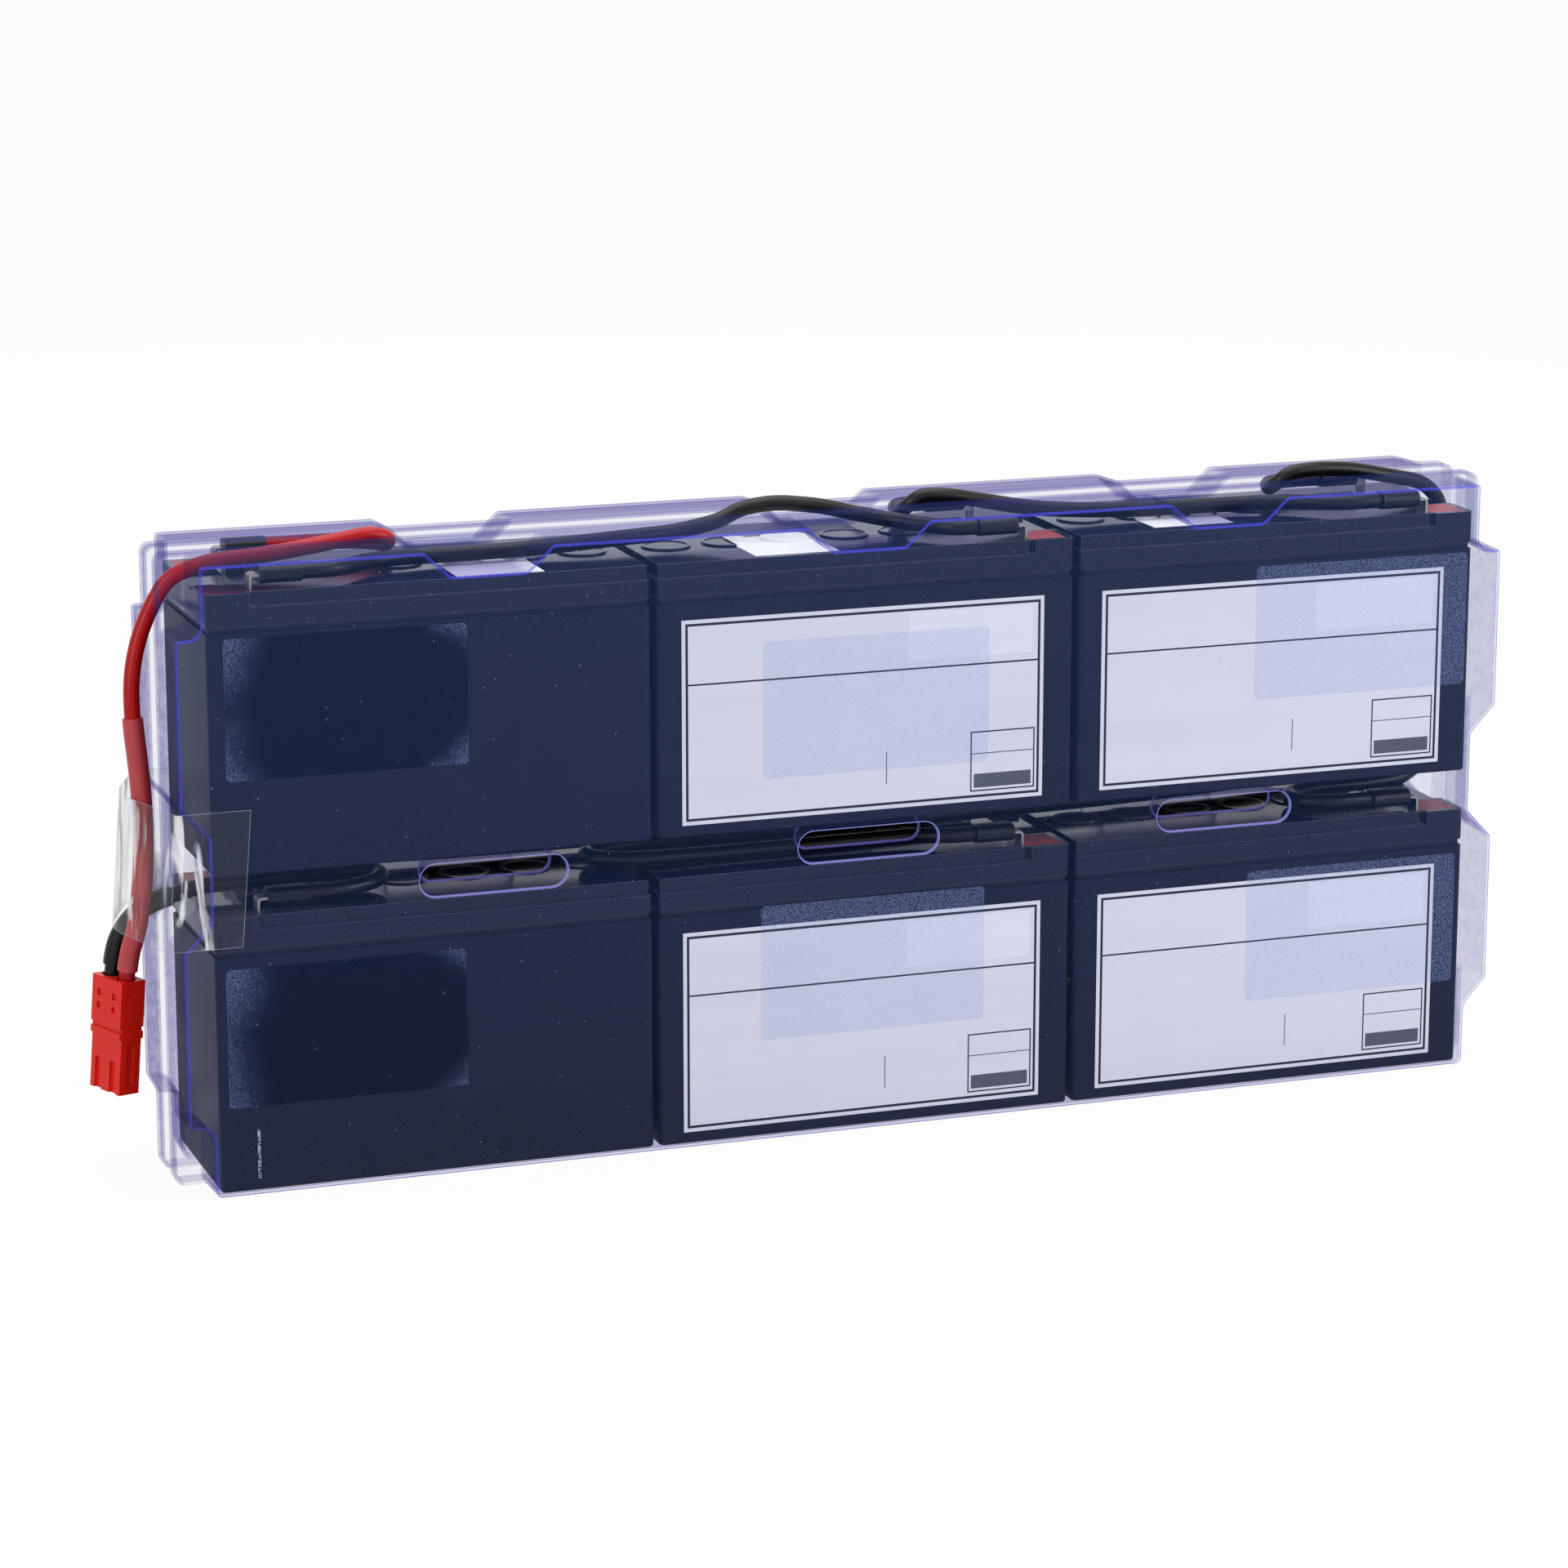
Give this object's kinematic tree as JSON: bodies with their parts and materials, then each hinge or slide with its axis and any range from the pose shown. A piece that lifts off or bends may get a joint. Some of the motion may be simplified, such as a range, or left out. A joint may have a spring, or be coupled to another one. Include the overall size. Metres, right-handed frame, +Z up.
{
  "type": "ups battery cartridge",
  "caption": "Rack UPS battery cartridge: rows of sealed lead-acid blocks held between clear thermoformed half shells and wired in series, with a red plug on short leads.",
  "frame": {"origin": "middle of the resting edge: halfway along the pack's length, halfway between the shells, at the lowest flange edge", "axes": "+X along the pack towards the end without the plug, +Y from the front shell to the rear shell, +Z up from the resting edge"},
  "size_m": [0.5028, 0.0682, 0.2191],
  "materials": {
    "clear_shell": "glossy thermoformed sheet, violet tint",
    "container": "fine satin moulding",
    "lid": "fine satin moulding",
    "vent_cover": "satin moulding",
    "terminal": "tin plated",
    "positive_mark": "satin paint",
    "label": "printed film",
    "boot": "soft vinyl",
    "adhesive": "cured clear adhesive",
    "sticker": "coated paper",
    "jumper_wire": "soft vinyl insulation",
    "red_wire": "soft vinyl insulation",
    "red_sleeve": "shrunk sleeve",
    "black_wire": "soft vinyl insulation",
    "black_sleeve": "shrunk sleeve",
    "plug_housing": "moulded polycarbonate",
    "contact": "silver plated copper",
    "tape": "clear film"
  },
  "bodies": {
    "root": {"front_shell": "clear_shell", "rear_shell": "clear_shell", "container_lower_left": "container", "lid_lower_left": "lid", "vent_covers_lower_left": "vent_cover", "terminal_tabs_lower_left": "terminal", "positive_mark_lower_left": "positive_mark", "label_lower_left": "label", "container_lower_middle": "container", "lid_lower_middle": "lid", "vent_covers_lower_middle": "vent_cover", "terminal_tabs_lower_middle": "terminal", "positive_mark_lower_middle": "positive_mark", "label_lower_middle": "label", "container_lower_right": "container", "lid_lower_right": "lid", "vent_covers_lower_right": "vent_cover", "terminal_tabs_lower_right": "terminal", "positive_mark_lower_right": "positive_mark", "label_lower_right": "label", "container_upper_left": "container", "lid_upper_left": "lid", "vent_covers_upper_left": "vent_cover", "terminal_tabs_upper_left": "terminal", "positive_mark_upper_left": "positive_mark", "label_upper_left": "label", "container_upper_middle": "container", "lid_upper_middle": "lid", "vent_covers_upper_middle": "vent_cover", "terminal_tabs_upper_middle": "terminal", "positive_mark_upper_middle": "positive_mark", "label_upper_middle": "label", "container_upper_right": "container", "lid_upper_right": "lid", "vent_covers_upper_right": "vent_cover", "terminal_tabs_upper_right": "terminal", "positive_mark_upper_right": "positive_mark", "label_upper_right": "label", "terminal_boots": "boot", "front_adhesive_pads": "adhesive", "rear_adhesive_pads": "adhesive", "lid_stickers": "sticker", "jumper_top_left": "jumper_wire", "jumper_top_right": "jumper_wire", "jumper_end": "jumper_wire", "jumper_low_right": "jumper_wire", "jumper_low_left": "jumper_wire", "red_lead_inner": "red_wire", "red_lead": "red_wire", "red_lead_sleeve": "red_sleeve", "black_lead_inner": "black_wire", "black_lead": "black_wire", "black_lead_sleeve": "black_sleeve", "red_lead_housing": "plug_housing", "black_lead_housing": "plug_housing", "plug_contacts": "contact", "tape_wrap": "tape"}
  },
  "joints": []
}
